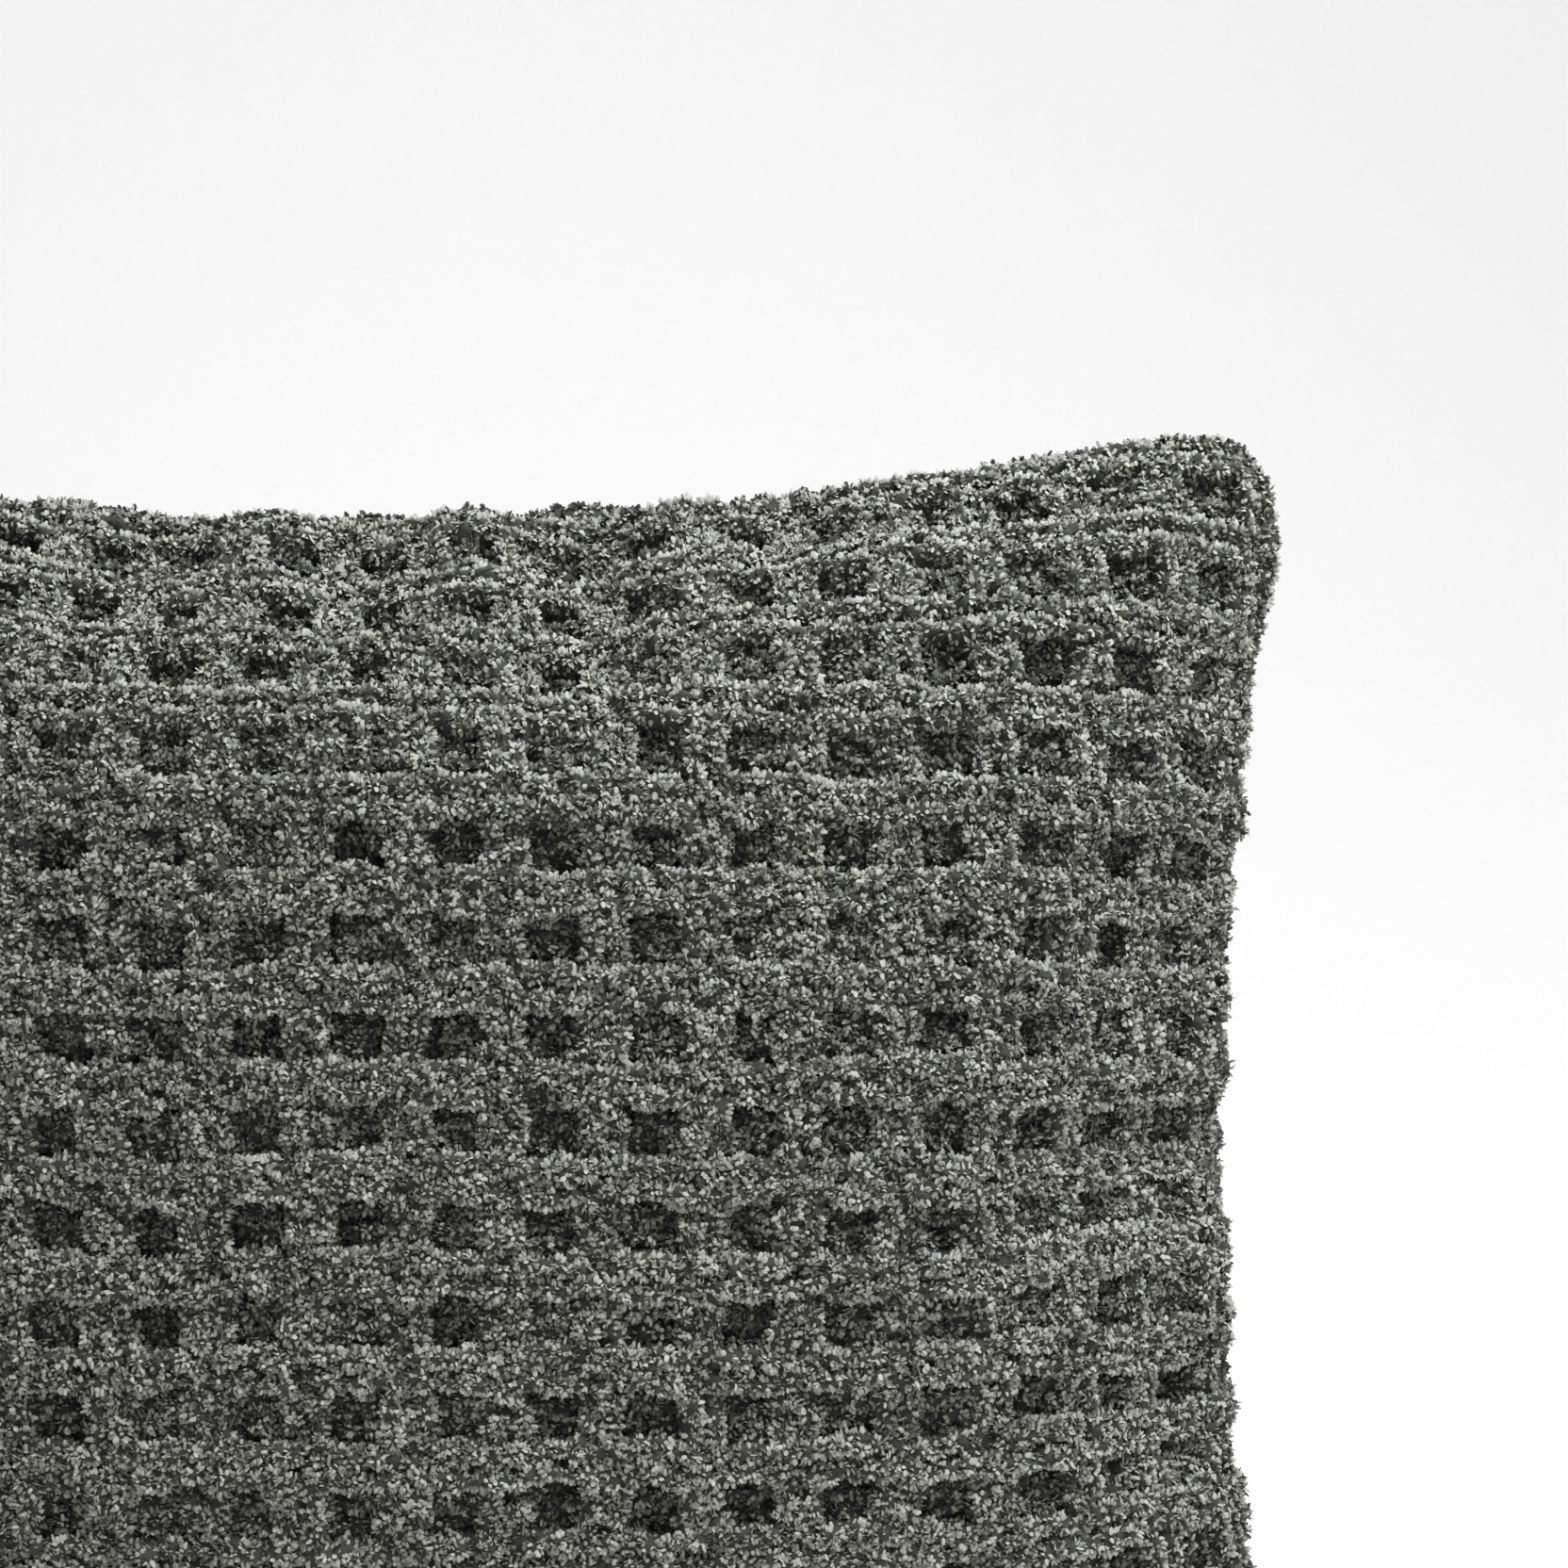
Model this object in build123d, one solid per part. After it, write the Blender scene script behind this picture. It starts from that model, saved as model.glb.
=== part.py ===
from build123d import *

from functools import lru_cache
import math
import os

# A rectangular throw pillow standing on its bottom edge: a zipped cover of thick waffle-woven
# chenille round a sewn insert that is filled with polyester fibre. Millimetres. X runs along the
# width, Y through the thickness with the front facing -Y, and Z up from the surface it stands on.

# Whole pillow
WIDTH = 457.0  # corner to corner along the seam
HEIGHT = 356.0  # corner to corner along the seam, before the bottom corners settle
THICKNESS = 140.0  # through the middle
SETTLE = 12.0  # how far the bottom corners are pressed flat by standing
CENTRE_Z = HEIGHT / 2 - SETTLE
SIDE_PULL = 0.07  # how far the middle of each side edge draws in, as a share of the half width
TOP_PULL = 0.115
BOTTOM_PULL = 0.10
CORNER_SHARPNESS = 18.0  # superellipse power of the outline at the seam
BELLY_SHARPNESS = 2.6  # the same power at the middle of a face
PROFILE_RISE = 1.61  # shape of the section from the seam to the middle of a face
PROFILE_ROUND = 2.2
DEPTHS = (0.0, 0.1, 0.3, 0.5, 0.7, 0.85, 0.95, 0.985)  # shares of the half thickness
RAYS = (0.0, 0.3, 0.55, 0.75, 0.88, 0.96)  # slopes of the outline's points in an eighth
FLOOR_BLEND = 2.0  # how softly an outline turns flat at the bottom
FLOOR_DIP = 1.0  # how far it then dips under, so that a flat cut leaves a real flat face

# Cover
COVER_WALL = 5.0  # chenille panel with its pile
ALLOWANCE_OUTER = 2.0  # seam allowance inside the edge, from here
ALLOWANCE_INNER = 9.0  # to here
ALLOWANCE_THICK = 3.0  # of one panel
SEAM_THREAD_OUTER = 2.6
SEAM_THREAD_INNER = 3.4
SEAM_THREAD_HALF = 0.4
OVERLOCK_WIDTH = 0.8  # of the thread wrapped round the allowance's raw edge

# Zip opening in the bottom seam
SLOT_HALF_LENGTH = 156.0
SLOT_HALF_WIDTH = 3.8
HEM_HALF_LENGTH = 159.0
HEM_HALF_WIDTH = 14.0  # folded edges of the panels, which the tapes are sewn to
HEM_TOP = 13.4
TAPE_HALF_LENGTH = 150.0
TAPE_WIDTH = 11.4
TAPE_THICK = 0.6
ROW_GAP = 1.2  # between the two rows, where the slider's web passes
COIL_HALF_LENGTH = 136.5
COIL_WIDTH = 1.9
COIL_HEIGHT = 2.0
STOP_LENGTH = 2.5
STOP_PROUD = 0.15
TACK_X = 153.0
TACK_LENGTH = 2.0
TACK_HEIGHT = 2.5
TOPSTITCH_Y = 7.5
TOPSTITCH_WIDTH = 0.8
TOPSTITCH_HEIGHT = 0.4

# Slider and pull
RUNNING_GAP = 0.3
SLIDER_X = 130.0  # where the closed slider stands
SLIDER_LENGTH = 9.0
SLIDER_NOSE_HALF = 3.4
SLIDER_TAIL_HALF = 3.1
PLATE_THICK = 1.0
FLANGE_WIDTH = 0.5
WEB_LENGTH = 3.0
WEB_THICK = 0.5
BAIL_WIDTH = 1.6
BAIL_WALL = 0.9
BAIL_REACH = 2.0  # half its length outside
PULL_BAR_RADIUS = 0.6
PULL_THICK = 1.2
PULL_ARM_WIDTH = 1.2
PULL_WINDOW = 3.2  # from the bar to the end of the window
PULL_LENGTH = 20.0
PULL_TIP_HALF = 2.8
PULL_HANG = 22.0  # degrees below level, with its tip just clear of the surface

# Insert
INSERT_INSET = 11.0  # from the cover's outline
INSERT_FACE_INSET = 6.5  # from the cover's faces
INSERT_FLOOR = 16.5
INSERT_WALL = 1.0
INSERT_PANEL_GAP = 0.05  # from each panel to the seam plane
FILL_GAP = 0.1
INSERT_THREAD_OUTER = 0.3
INSERT_THREAD_INNER = 0.7
INSERT_THREAD_HALF = 0.2
CLOSING_HALF_LENGTH = 70.0  # hand-sewn length of the insert's top edge

# Labels, both blank
CARE_LABEL_X = 186.0
CARE_LABEL_WIDTH = 24.0
CARE_LABEL_DROP = 10.0
CARE_LABEL_THICK = 0.6
CARE_LABEL_Y = 3.6
CARE_LABEL_Z = 6.2
INSERT_LABEL_WIDTH = 50.0
INSERT_LABEL_HEIGHT = 60.0
INSERT_LABEL_THICK = 0.3
INSERT_LABEL_GAP = 0.2
INSERT_LABEL_X = 60.0
INSERT_LABEL_Z = 90.0

BIG = 1000.0
FRONT = -1
BACK = 1
COIL_BOTTOM = HEM_TOP - COIL_HEIGHT
PLATE_TOP = COIL_BOTTOM - RUNNING_GAP
PLATE_BOTTOM = PLATE_TOP - PLATE_THICK
INNER_PLATE_BOTTOM = HEM_TOP + TAPE_THICK + RUNNING_GAP
PULL_AXIS_Z = PLATE_BOTTOM - RUNNING_GAP - PULL_BAR_RADIUS


def box(x, y, z):
    """A box from three (low, high) pairs."""
    size = [high - low for low, high in (x, y, z)]
    middle = [(low + high) / 2 for low, high in (x, y, z)]
    return Pos(*middle) * Box(*size)


def slopes():
    """Slopes of the rays of one eighth of an outline and, mirrored, of the next."""
    return [math.atan(s) for s in RAYS] + [math.pi / 4] + [
        math.pi / 2 - math.atan(s) for s in reversed(RAYS[1:])
    ]


def shrink(depth):
    """Size of the outline at a share of the half thickness, as a share of that at the seam."""
    return (1 - depth**PROFILE_RISE) ** (1 / PROFILE_ROUND)


def outline_point(angle, depth, inset, floor):
    """One point of an outline: a superellipse with its edges drawn in and its bottom settled."""
    across, up = math.cos(angle), math.sin(angle)
    power = BELLY_SHARPNESS + (CORNER_SHARPNESS - BELLY_SHARPNESS) * (1 - depth) ** 3
    reach = (abs(across) ** power + abs(up) ** power) ** (-1 / power)
    x, z = reach * across, reach * up
    ease = 1 - depth
    end_pull = TOP_PULL if z > 0 else BOTTOM_PULL
    pulled_x = x * (1 - SIDE_PULL * ease * (1 - z * z))
    pulled_z = z * (1 - end_pull * ease * (1 - x * x))
    place_x = pulled_x * (WIDTH / 2 - inset) * shrink(depth)
    place_z = CENTRE_Z + pulled_z * (HEIGHT / 2 - inset) * shrink(depth)
    over = place_z - (floor - FLOOR_DIP)
    return place_x, floor - FLOOR_DIP + (over + math.hypot(over, FLOOR_BLEND)) / 2


def outline(depth, inset, floor, y):
    """The closed outline at a depth, as a face across Y."""
    points = []
    for quarter in range(4):
        for slope in slopes():
            x, z = outline_point(quarter * math.pi / 2 + slope, depth, inset, floor)
            points.append((x, y, z))
    return make_face(Wire([Spline(*points, periodic=True)]))


@lru_cache(maxsize=None)
def half_pillow(side, inset, face_inset, floor):
    """The half of the pillow on one side of the seam plane, drawn in and cut flat at the floor."""
    reach = (THICKNESS / 2 - face_inset) * side
    sections = [outline(depth, inset, floor, depth * reach) for depth in DEPTHS]
    above = box((-BIG, BIG), (-BIG, BIG), (floor, BIG))
    return loft(sections) & above


def ring(outer, inner, floor, near, far, base=0.0):
    """A flat band that follows the edge, between two insets and two places along Y."""
    outside = outline(0.0, outer, floor + outer - base, near)
    inside = outline(0.0, inner, floor + inner - base, near)
    return extrude(outside - inside, amount=far - near, dir=(0, 1, 0))


def zip_space():
    """The room above the folded edges that the tapes and the slider take."""
    reach = HEM_HALF_WIDTH + 1
    return box(
        (-HEM_HALF_LENGTH, HEM_HALF_LENGTH), (-reach, reach), (HEM_TOP, INSERT_FLOOR + 5)
    )


def slot():
    """The gap between the panels' folded edges."""
    return box(
        (-SLOT_HALF_LENGTH, SLOT_HALF_LENGTH),
        (-SLOT_HALF_WIDTH, SLOT_HALF_WIDTH),
        (-BIG, INSERT_FLOOR + 5),
    )


def ends(side, low, high):
    """A (low, high) pair along Y on one side of the seam plane."""
    return tuple(sorted((side * low, side * high)))


def seam_band():
    return ring(
        SEAM_THREAD_OUTER, SEAM_THREAD_INNER, 0.0, -SEAM_THREAD_HALF, SEAM_THREAD_HALF
    )


def cover_panel(side):
    """One chenille panel with its seam allowance and its folded edge along the zip."""
    outer = half_pillow(side, 0.0, 0.0, 0.0)
    wall = outer - half_pillow(side, COVER_WALL, COVER_WALL, COVER_WALL)
    low, high = ends(side, 0.0, ALLOWANCE_THICK)
    allowance = ring(ALLOWANCE_OUTER, ALLOWANCE_INNER, 0.0, low, high)
    hem_box = box(
        (-HEM_HALF_LENGTH, HEM_HALF_LENGTH), ends(side, 0.0, HEM_HALF_WIDTH), (0.0, HEM_TOP)
    )
    return wall + allowance + (outer & hem_box) - zip_space() - slot() - seam_band()


def seam_thread():
    """Lockstitch through both panels, all round except at the zip."""
    return seam_band() - slot()


def overlock_thread():
    """Thread wrapped over the raw edge of the seam allowance, all round except at the zip."""
    wrap = ring(
        ALLOWANCE_INNER,
        ALLOWANCE_INNER + OVERLOCK_WIDTH,
        0.0,
        -ALLOWANCE_THICK,
        ALLOWANCE_THICK,
    )
    hems = box((-HEM_HALF_LENGTH, HEM_HALF_LENGTH), (-BIG, BIG), (0.0, INSERT_FLOOR + 5))
    return wrap - hems


def tape(side):
    return box(
        (-TAPE_HALF_LENGTH, TAPE_HALF_LENGTH),
        ends(side, ROW_GAP / 2, ROW_GAP / 2 + TAPE_WIDTH),
        (HEM_TOP, HEM_TOP + TAPE_THICK),
    )


def coil(side):
    """One row of the zip as a bar of its outer size."""
    row = box(
        (-COIL_HALF_LENGTH, COIL_HALF_LENGTH),
        ends(side, ROW_GAP / 2, ROW_GAP / 2 + COIL_WIDTH),
        (COIL_BOTTOM, HEM_TOP),
    )
    return chamfer(row.edges().filter_by(Axis.X).group_by(Axis.Z)[0], 0.4)


def top_stops():
    """A clamp at the closed end of each row."""
    stops = [
        box(
            (COIL_HALF_LENGTH, COIL_HALF_LENGTH + STOP_LENGTH),
            ends(side, ROW_GAP / 2, ROW_GAP / 2 + COIL_WIDTH),
            (COIL_BOTTOM - STOP_PROUD, HEM_TOP),
        )
        for side in (FRONT, BACK)
    ]
    return Compound([fillet(stop.edges().filter_by(Axis.Y), 0.4) for stop in stops])


def bottom_stop():
    """One clamp across both rows at the open end."""
    reach = ROW_GAP / 2 + COIL_WIDTH
    stop = box(
        (-COIL_HALF_LENGTH - STOP_LENGTH, -COIL_HALF_LENGTH),
        (-reach, reach),
        (COIL_BOTTOM - STOP_PROUD, HEM_TOP),
    )
    return fillet(stop.edges().filter_by(Axis.Y), 0.4)


def end_tacks():
    """A dense bar of stitches across each end of the zip opening."""
    tacks = [
        box(
            (side * TACK_X - TACK_LENGTH / 2, side * TACK_X + TACK_LENGTH / 2),
            (-SLOT_HALF_WIDTH, SLOT_HALF_WIDTH),
            (COIL_BOTTOM - TACK_HEIGHT, COIL_BOTTOM),
        )
        for side in (-1, 1)
    ]
    return Compound([fillet(tack.edges().filter_by(Axis.Y), 0.6) for tack in tacks])


def topstitch(side):
    """The thread that holds a tape to its folded edge."""
    return box(
        (-TAPE_HALF_LENGTH, TAPE_HALF_LENGTH),
        ends(side, TOPSTITCH_Y - TOPSTITCH_WIDTH / 2, TOPSTITCH_Y + TOPSTITCH_WIDTH / 2),
        (HEM_TOP + TAPE_THICK, HEM_TOP + TAPE_THICK + TOPSTITCH_HEIGHT),
    )


def slider_plate(bottom, thick):
    """A plate that is wider at the nose than at the tail, with round corners."""
    half = SLIDER_LENGTH / 2
    shape = Polygon(
        (-half, -SLIDER_TAIL_HALF),
        (half, -SLIDER_NOSE_HALF),
        (half, SLIDER_NOSE_HALF),
        (-half, SLIDER_TAIL_HALF),
        align=None,
    )
    shape = fillet(shape.vertices(), 1.4)
    return Pos(SLIDER_X, 0, bottom) * extrude(shape, amount=thick)


def slider():
    """Two plates joined by a web between the rows, side flanges, and the pull's bail."""
    outer = slider_plate(PLATE_BOTTOM, PLATE_THICK)
    inner = slider_plate(INNER_PLATE_BOTTOM, PLATE_THICK)
    web = box(
        (SLIDER_X - WEB_LENGTH / 2, SLIDER_X + WEB_LENGTH / 2),
        (-WEB_THICK / 2, WEB_THICK / 2),
        (PLATE_BOTTOM, INNER_PLATE_BOTTOM + PLATE_THICK),
    )
    inside = ROW_GAP / 2 + COIL_WIDTH + RUNNING_GAP
    body = outer + inner + web
    for side in (FRONT, BACK):
        body += box(
            (SLIDER_X - SLIDER_LENGTH / 2 + 1.5, SLIDER_X + SLIDER_LENGTH / 2 - 1.5),
            ends(side, inside, inside + FLANGE_WIDTH),
            (PLATE_BOTTOM, HEM_TOP - RUNNING_GAP),
        )
    room = PULL_BAR_RADIUS + RUNNING_GAP
    bail = box(
        (SLIDER_X - BAIL_REACH, SLIDER_X + BAIL_REACH),
        (-BAIL_WIDTH / 2, BAIL_WIDTH / 2),
        (PULL_AXIS_Z - room - BAIL_WALL, PLATE_BOTTOM),
    )
    bail = fillet(bail.edges().filter_by(Axis.Y).group_by(Axis.Z)[0], 1.0)
    bail -= box(
        (SLIDER_X - room, SLIDER_X + room),
        (-BAIL_WIDTH, BAIL_WIDTH),
        (PULL_AXIS_Z - room, PLATE_BOTTOM),
    )
    return body + bail


def pull():
    """A tab with a window, whose top bar passes through the slider's bail."""
    inside = BAIL_WIDTH / 2 + RUNNING_GAP
    outside = inside + PULL_ARM_WIDTH
    tab = Polygon(
        (0, -outside),
        (0, outside),
        (-PULL_LENGTH, PULL_TIP_HALF),
        (-PULL_LENGTH, -PULL_TIP_HALF),
        align=None,
    )
    tab = fillet(tab.vertices().group_by(Axis.X)[0], 2.0)
    window = Pos(-PULL_WINDOW / 2, 0) * Rectangle(PULL_WINDOW, 2 * inside)
    hole = Pos(-PULL_LENGTH + 4.0, 0) * Circle(1.2)
    plate = Pos(0, 0, -PULL_THICK / 2) * extrude(tab - window - hole, amount=PULL_THICK)
    bar = Rot(90, 0, 0) * Cylinder(PULL_BAR_RADIUS, 2 * outside)
    hung = Rot(0, -PULL_HANG, 0) * (plate + bar)
    return Pos(SLIDER_X, 0, PULL_AXIS_Z) * hung


def insert_half(side, deeper=0.0):
    """Half of the insert's outer form, or a form inside it."""
    return half_pillow(
        side, INSERT_INSET + deeper, INSERT_FACE_INSET + deeper, INSERT_FLOOR + deeper
    )


def insert_band():
    return ring(
        INSERT_INSET + INSERT_THREAD_OUTER,
        INSERT_INSET + INSERT_THREAD_INNER,
        INSERT_FLOOR,
        -INSERT_THREAD_HALF,
        INSERT_THREAD_HALF,
        base=INSERT_INSET,
    )


def insert_casing(side):
    """One thin woven panel of the insert."""
    own_side = box((-BIG, BIG), ends(side, INSERT_PANEL_GAP, BIG), (-BIG, BIG))
    wall = insert_half(side) - insert_half(side, INSERT_WALL)
    return (wall & own_side) - insert_band()


def closing_length():
    return box((-CLOSING_HALF_LENGTH, CLOSING_HALF_LENGTH), (-BIG, BIG), (CENTRE_Z, BIG))


def fibre_fill():
    """The fibre, as one plump solid that fills the insert."""
    deeper = INSERT_WALL + FILL_GAP
    return insert_half(FRONT, deeper) + insert_half(BACK, deeper)


def care_label():
    """A blank folded ribbon beside the seam allowance, past the zip's closed end."""
    return box(
        (CARE_LABEL_X - CARE_LABEL_WIDTH / 2, CARE_LABEL_X + CARE_LABEL_WIDTH / 2),
        (CARE_LABEL_Y, CARE_LABEL_Y + CARE_LABEL_THICK),
        (CARE_LABEL_Z, CARE_LABEL_Z + CARE_LABEL_DROP),
    )


def insert_label():
    """A blank tag lying on the back of the insert."""
    far = insert_half(BACK, -INSERT_LABEL_GAP - INSERT_LABEL_THICK)
    near = insert_half(BACK, -INSERT_LABEL_GAP)
    patch = box(
        (INSERT_LABEL_X, INSERT_LABEL_X + INSERT_LABEL_WIDTH),
        (0.0, BIG),
        (INSERT_LABEL_Z, INSERT_LABEL_Z + INSERT_LABEL_HEIGHT),
    )
    return (far & patch) - near


PIECES = {
    "cover_front": lambda: cover_panel(FRONT),
    "cover_back": lambda: cover_panel(BACK),
    "cover_seam_thread": seam_thread,
    "cover_overlock_thread": overlock_thread,
    "care_label": care_label,
    "zipper_tape_front": lambda: tape(FRONT),
    "zipper_tape_back": lambda: tape(BACK),
    "zipper_coil_front": lambda: coil(FRONT),
    "zipper_coil_back": lambda: coil(BACK),
    "zipper_stitching_front": lambda: topstitch(FRONT),
    "zipper_stitching_back": lambda: topstitch(BACK),
    "zipper_top_stops": top_stops,
    "zipper_bottom_stop": bottom_stop,
    "zipper_end_tacks": end_tacks,
    "zipper_slider": slider,
    "zipper_pull": pull,
    "insert_front": lambda: insert_casing(FRONT),
    "insert_back": lambda: insert_casing(BACK),
    "insert_seam_thread": lambda: insert_band() - closing_length(),
    "insert_closing_thread": lambda: insert_band() & closing_length(),
    "insert_label": insert_label,
    "fibre_fill": fibre_fill,
}


def main():
    os.makedirs("parts", exist_ok=True)
    for name, make in PIECES.items():
        export_step(make(), f"parts/{name}.step")


main()
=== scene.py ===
import math
from functools import cache

import bpy
import numpy as np
from bpy.props import FloatProperty, IntProperty, PointerProperty, StringProperty
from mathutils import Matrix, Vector


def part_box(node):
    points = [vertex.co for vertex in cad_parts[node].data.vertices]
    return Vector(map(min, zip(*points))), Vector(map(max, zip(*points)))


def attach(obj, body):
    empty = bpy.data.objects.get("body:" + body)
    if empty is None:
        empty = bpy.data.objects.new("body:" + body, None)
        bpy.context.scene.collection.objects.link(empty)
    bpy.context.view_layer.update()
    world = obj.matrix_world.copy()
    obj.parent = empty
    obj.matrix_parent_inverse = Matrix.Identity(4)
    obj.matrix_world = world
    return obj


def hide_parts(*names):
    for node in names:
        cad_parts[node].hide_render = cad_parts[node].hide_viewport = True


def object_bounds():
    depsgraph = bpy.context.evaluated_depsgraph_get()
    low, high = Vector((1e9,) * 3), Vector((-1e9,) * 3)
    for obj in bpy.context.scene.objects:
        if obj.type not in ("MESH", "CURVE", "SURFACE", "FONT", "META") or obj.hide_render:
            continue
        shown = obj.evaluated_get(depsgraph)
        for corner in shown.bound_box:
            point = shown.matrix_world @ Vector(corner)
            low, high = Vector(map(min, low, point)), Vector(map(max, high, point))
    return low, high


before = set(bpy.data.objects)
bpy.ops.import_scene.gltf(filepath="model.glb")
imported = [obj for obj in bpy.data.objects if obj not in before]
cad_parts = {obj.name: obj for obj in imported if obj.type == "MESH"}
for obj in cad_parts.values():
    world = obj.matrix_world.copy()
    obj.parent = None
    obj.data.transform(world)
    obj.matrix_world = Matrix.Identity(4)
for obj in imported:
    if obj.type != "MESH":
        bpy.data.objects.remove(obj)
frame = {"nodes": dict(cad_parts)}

bl_info = {
    "name": "Chenille waffle pillow",
    "version": (1, 0, 0),
    "blender": (4, 5, 0),
    "location": "View3D > Sidebar > Pillow",
    "description": "Builds a zipped throw pillow in waffle-woven chenille round its packed frame",
    "category": "Object",
}

MM = 0.001
FRONT, BACK = -1, 1
LOW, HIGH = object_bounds()

# Cloth of one cover panel as it is cut, and the grid that it is simulated on.
CUT_WIDTH = 457 * MM
CUT_HEIGHT = 356 * MM
CORNER_RADIUS = 24 * MM
CELLS_ACROSS = 84
CELLS_UP = 64
FINER = 8  # woven relief has this many cells to one simulated cell
# How much each of four neighbours counts between the middle two: a cubic's terms.
CURVE = np.array([[0, -1, 2, -1], [2, 0, -5, 3], [0, 1, 4, -3], [0, 0, -1, 1]]) / 2

# Filling and standing of the bag
INFLATE_FRAMES = 24
INFLATE_PRESSURE = 6.0
STARTING_PUFF = 10 * MM
SMOOTHING = 3  # times that the simulated cloth is relaxed
SIDE_GATHER = 0.024  # how far the side edges draw in between the corners, as a share
TOP_GATHER = 0.012
REST_HEIGHT = 1.6 * MM  # the cloth's middle over the surface, where it stands
REST_BLEND = 3 * MM
EDGE_PROUD = 3.0 * MM  # relief and pile past the cloth's middle at the outline
FACE_PROUD = 4.5 * MM  # relief and pile past the cloth's middle on the faces
FACE_SHARE = 0.92  # the bag's thickness to the frame's
SETTLE = 10 * MM  # natural bottom below the surface

# Waffle weave
PHASE_X = 0.1  # the waffle's pits are centred this many cells from the panel's middle
PHASE_Z = 0.43
YARNS = 4  # in one waffle cell, each way
RIDGE_FROM = 0.25  # of a cell from the pit's middle to where the ridge's yarns begin
FLOAT_FROM = 0.2  # of a cell from the pit's middle to where a float starts to dive
FLOAT_DIVE = 0.22  # of a cell, over which it dives
RIDGE_SAG = 0.35  # share of the ridge's height that is lost where the other yarns cross
YARN_SWELL = 0.18  # share by which a yarn's radius varies
YARN_SWELL_SIZE = 7 * MM
CROSSING_BLEND = 0.6 * MM  # how softly one yarn passes over another
WANDER = ((1.3 * MM, 50 * MM), (0.9 * MM, 12 * MM), (1.1 * MM, 5 * MM))  # sway, wavelength
WARP_DROP = 1.1 * MM  # warp floats stand this much lower than weft floats
FULLNESS = 0.85  # share of the pits' depth that pile may fill
FULLNESS_SIZE = 17 * MM
LUMPS = 1.1 * MM
LUMP_SIZE = 12 * MM
WEAVE_SEED = {FRONT: 11, BACK: 23}

# Cover panel
CLOTH_MIDDLE = 2.5 * MM  # from the simulated surface to the middle of the cloth
SEAM_WIDTH = 2.5 * MM  # over which the relief dies away at the seam
DRIFT = 0.35 * MM  # unevenness of the woven ground
DRIFT_SIZE = 1.8 * MM
INSIDE_DEPTH = 1.5 * MM
PILE_FLATTENED = 0.2 * MM
GAP_PAINTED_SHADE = 0.05  # painted shade: lightness of the woven ground between the tufts of pile, kept dark as if in their shade
RIDGE_PAINTED_LIGHT = 0.15  # painted light: how much lighter the ground is painted on the ridges than down in the pits
FIBRE_SHADE = 0.3  # share of the fine fibres in the pile's lightness
HEM_ROWS = 6
HEM_DEPTH = 11.5 * MM

# Tufts of pile
TUFT_SIZE = 3.5 * MM
TUFT_RELIEF = 2.3 * MM
TUFT_SEED = 7
STRAND_SHARE = 1.3  # of a strand's own facing in its shading, to 1 of its tuft's
BLUNTNESS = 0.5  # width of a strand's end to its full width
YARN_SPLAY = 1.8  # how far strands lean outwards across their yarn
TUFT_SPLAY = 1.0  # how far they lean outwards from their tuft's middle
TUFT_LEAN = 0.3  # how far a whole tuft leans
TOSS = 0.2
TWIST = 0.45
PILE_ROOT = 1.2 * MM  # from a strand's start up to the woven surface
LEAF_MIDDLE = 0.65  # of a strand's length, where it is widest
LEAF_FOLD = 0.7  # height of its fold to half its width
LEAF_CORNERS = [[0, 1, 3], [0, 3, 2], [1, 4, 3], [3, 5, 2], [3, 4, 5]]
LEAF_PAINTED_SHADES = [-0.45, -0.1, -0.1, 0.05, 0.08, 0.08]  # painted shade dark at the root and painted light at the end; root, widest, fold, end
LOWEST_PILE = 0.05 * MM
ZIP_CLEAR_HEIGHT = 18 * MM
SLOT_HALF_WIDTH = 3.9 * MM

# Zip and threads
ZIP_HALF_LENGTH = 156 * MM
FOLD_OFFSET = 4.6 * MM  # from the seam plane to each panel's folded edge
FOLD_BLEND = 14 * MM
FOLD_END = 4 * MM
TAPE_LOW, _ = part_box("zipper_tape_front")
TAPE_CORD = 1.1 * MM  # width of the thicker edge under the coil
TAPE_THINNED = 0.12 * MM
TAPE_EASED = 0.1 * MM
TAPE_STEPS = 121
TACK_LENGTH = 2 * MM
TACK_PASSES = 17
COIL_WIRE = 0.28 * MM
COIL_PITCH = 1.3 * MM
COIL_STEPS = 10
STITCH_STEPS = 6
THREAD_RADIUS = 0.3 * MM
SEAM_INSET = 3 * MM
OVERLOCK_INSET = 9.5 * MM

# Insert and labels
INSERT_INSET = 9 * MM
INSERT_DRAW = 1.3  # how much further the casing's edge is drawn in than its inset
INSERT_DEPTH = 5.5 * MM
INSERT_EDGE = 14 * MM  # over which the casing's edge closes on its seam
INSERT_FLOOR = 17 * MM
INSERT_THREAD_RADIUS = 0.2 * MM
CASING_THICK = 0.6 * MM
FILL_CLEAR = 0.3 * MM
SEAM_GAP = 0.05 * MM
CLOSING_HALF_LENGTH = 70 * MM
RIBBON_THICK = 0.3 * MM
RIBBON_CLEAR = 0.1 * MM

# Studio, in metres
STUDIO_RADIUS = 2.7
BEND_RADIUS = 2.0
STUDIO_HEIGHT = 3.2
BEND_STEPS = 25
STUDIO_STEPS = 96
KEY_PLACE, KEY_SIZE = (0.45, -0.42, 1.15), 0.5
BACKDROP_PLACE, BACKDROP_AIM, BACKDROP_SIZE = (0, 0.8, 1.9), (0, 2.6, 0.9), 1.4
SENSOR_WIDTH_MM = 36


# ---- settings


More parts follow.
